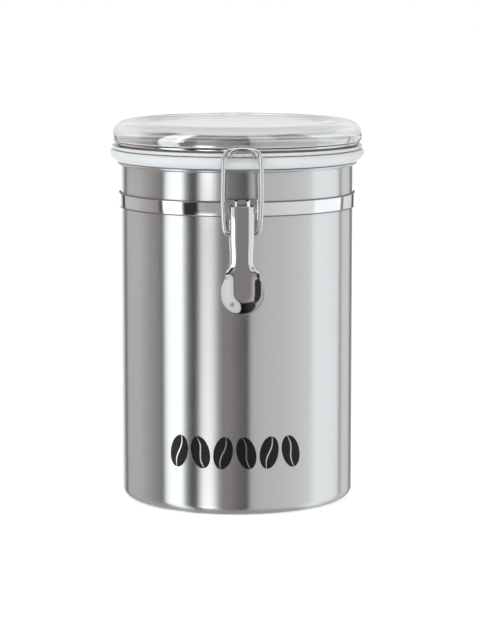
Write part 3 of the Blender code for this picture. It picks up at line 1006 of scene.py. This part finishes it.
SOFT_BOX = (3.3, 3.4, 3.45)
LOW_THROUGH_LID = (0.80, 0.79, 0.79)
ROOM_THROUGH_LID = (0.26, 0.22, 0.21)
ROOM_ON_MATT = 0.79

# Patches of the room: sides in degrees with their softness, heights as the Z of the direction,
# and strength. Cards add light to the panels and shades take a share of it away
CARDS = (
    ((-13.0, 9.5, 3.0), (-0.30, 0.24, 0.03), 0.16),
    ((-58.0, -48.5, 1.5), (0.0, 0.06), 1.4),
)
SHADES = (
    ((-48.0, 13.0, 2.0), (0.30, 0.42), 0.92),
    ((36.0, 78.0, 4.0), (0.34, 0.44), 0.6),
)
SOFT_BOX_SIDES = (-42.0, -18.0, 8.0)
SOFT_BOX_HEIGHTS = (-0.66, -0.16, 0.15)
BEHIND_SIDES = (96.0, 110.0)
BEHIND_RISE = (0.0, 0.03)
BEHIND_LIGHT = (0.10, 0.30, 0.80, 1.15)


def panel_ramp(tree, degrees):
    """The panels' light by direction round the canister."""
    share = math_node(tree, "ADD", math_node(tree, "DIVIDE", degrees, 360.0), 0.5)
    ramp = tree.nodes.new("ShaderNodeValToRGB")
    tree.links.new(math_node(tree, "FRACT", share), ramp.inputs[0])
    points = []
    for start, end, first, last in PANELS:
        points += [(start, first), (end, last)]
    stops = ramp.color_ramp.elements
    while len(stops) < len(points):
        stops.new(1.0)
    for stop, (turn, light) in zip(stops, points):
        stop.position = turn / 360 + 0.5
        stop.color = (*grey(light / PANEL_SCALE), 1)
    return math_node(tree, "MULTIPLY", ramp.outputs["Color"], PANEL_SCALE)


def patch(tree, degrees, sides, z, heights, strength):
    """A strength inside a patch of the room, between two sides and above or between heights."""
    wide = window(tree, degrees, *sides)
    tall = window(tree, z, *heights) if len(heights) == 3 else ranged(tree, z, *heights, 0.0, 1.0)
    return product(tree, wide, tall, strength)


def dimmed(tree, light, share):
    """The light less this share of it."""
    return product(tree, light, math_node(tree, "SUBTRACT", 1.0, share))


def room_light(tree, degrees, z):
    """How bright the room is in each direction, below its ceiling."""
    light = panel_ramp(tree, degrees)
    for sides, heights, strength in CARDS:
        light = math_node(tree, "ADD", light, patch(tree, degrees, sides, z, heights, strength))
    for sides, heights, strength in SHADES:
        light = dimmed(tree, light, patch(tree, degrees, sides, z, heights, strength))
    behind = ranged(tree, math_node(tree, "ABSOLUTE", degrees), *BEHIND_SIDES, 0.0, 1.0)
    behind = product(tree, behind, ranged(tree, z, *BEHIND_RISE, 0.0, 1.0))
    behind_light = product(tree, behind, ranged(tree, z, *BEHIND_LIGHT))
    return math_node(tree, "ADD", dimmed(tree, light, behind), behind_light)


def studio_world():
    """Tall panels of light and dark round the canister, a soft box, a ceiling and a floor's light."""
    world = bpy.data.worlds.new("studio")
    bpy.context.scene.world = world
    world.use_nodes = True
    tree = world.node_tree
    background = tree.nodes["Background"]
    x, y, z = split(tree, tree.nodes.new("ShaderNodeTexCoord").outputs["Generated"])
    around = math_node(tree, "ARCTAN2", x, math_node(tree, "MULTIPLY", y, -1.0))
    around = math_node(tree, "SUBTRACT", around, CAMERA_AZIMUTH)
    degrees = math_node(tree, "MULTIPLY", around, 180 / math.pi)
    light = room_light(tree, degrees, z)
    tint = mix_colour(tree, ranged(tree, light, 0.3, 1.1, 0.0, 1.0), WARM_GREY, COOL_WHITE)
    room = scaled_colour(tree, tint, light)
    room = mix_colour(tree, ranged(tree, z, *CEILING_EDGE, 0.0, 1.0), room, CEILING)
    room = mix_colour(tree, ranged(tree, z, *FLOOR_EDGE, 1.0, 0.0), room, FLOOR_LIGHT)
    room = mix_colour(tree, patch(tree, degrees, SOFT_BOX_SIDES, z, SOFT_BOX_HEIGHTS, 1.0), room, SOFT_BOX)
    path = tree.nodes.new("ShaderNodeLightPath").outputs
    above = ranged(tree, z, 0.10, 0.40, 0.0, 1.0)
    behind_lid = mix_colour(tree, above, LOW_THROUGH_LID, ROOM_THROUGH_LID)
    seen = mix_colour(tree, path["Is Transmission Ray"], room, behind_lid)
    seen = mix_colour(tree, path["Is Camera Ray"], seen, grey(1.0))
    seen = mix_colour(tree, path["Is Diffuse Ray"], seen, grey(ROOM_ON_MATT))
    tree.links.new(seen, background.inputs["Color"])


def area_light(name, place, target, size, power):
    """A soft rectangular light."""
    data = bpy.data.lights.new(name, "AREA")
    data.shape = "RECTANGLE"
    data.size, data.size_y = size
    data.energy = power
    light = bpy.data.objects.new(name, data)
    light.location = place
    light.rotation_euler = (Vector(target) - Vector(place)).to_track_quat("-Z", "Y").to_euler()
    light.visible_glossy = False
    bpy.context.scene.collection.objects.link(light)


def make_camera():
    """The camera at the reference view."""
    data = bpy.data.cameras.new("camera")
    data.sensor_fit = "VERTICAL"
    data.sensor_height = 36
    data.lens = CAMERA_LENS
    data.clip_start = 0.05
    camera = bpy.data.objects.new("camera", data)
    right = Vector((math.cos(CAMERA_AZIMUTH), math.sin(CAMERA_AZIMUTH), 0))
    away = Vector((math.sin(CAMERA_AZIMUTH), -math.cos(CAMERA_AZIMUTH), 0))
    camera.location = away * CAMERA_DISTANCE + Vector((0, 0, CAMERA_HEIGHT))
    target = right * CAMERA_LOOK_RIGHT + Vector((0, 0, CAMERA_LOOK_Z))
    camera.rotation_euler = (target - camera.location).to_track_quat("-Z", "Y").to_euler()
    bpy.context.scene.collection.objects.link(camera)
    bpy.context.scene.camera = camera


def main():
    """Every piece, the studio, the camera and the colour transform."""
    chrome = polished_steel("polished_steel", low=0.62, high=0.70)
    make_body(brushed_steel("brushed_steel", 0.245))
    make_band(band_steel("polished_band_steel"))
    make_lid(clear_plastic("clear_plastic"))
    make_gasket(silicone("silicone"))
    make_ring_wire(chrome)
    make_bail(chrome)
    make_hinge_wire(chrome)
    make_lever(polished_steel("pressed_steel", 0.07))
    make_beans(black_ink("black_ink"))
    stamped = polished_steel("stamped_steel", 0.10)
    for node in ("latch_bracket", "rear_hinge_bracket", "lever_pivot_pin"):
        finish_mesh(frame["nodes"][node], stamped, 35)
    make_floor(pale_floor("pale_floor"))
    studio_world()
    area_light("key", (-0.6, -0.9, 1.3), (0, 0, 0.1), (0.9, 0.9), 7)
    make_camera()
    bpy.context.scene.view_settings.view_transform = "Standard"


main()
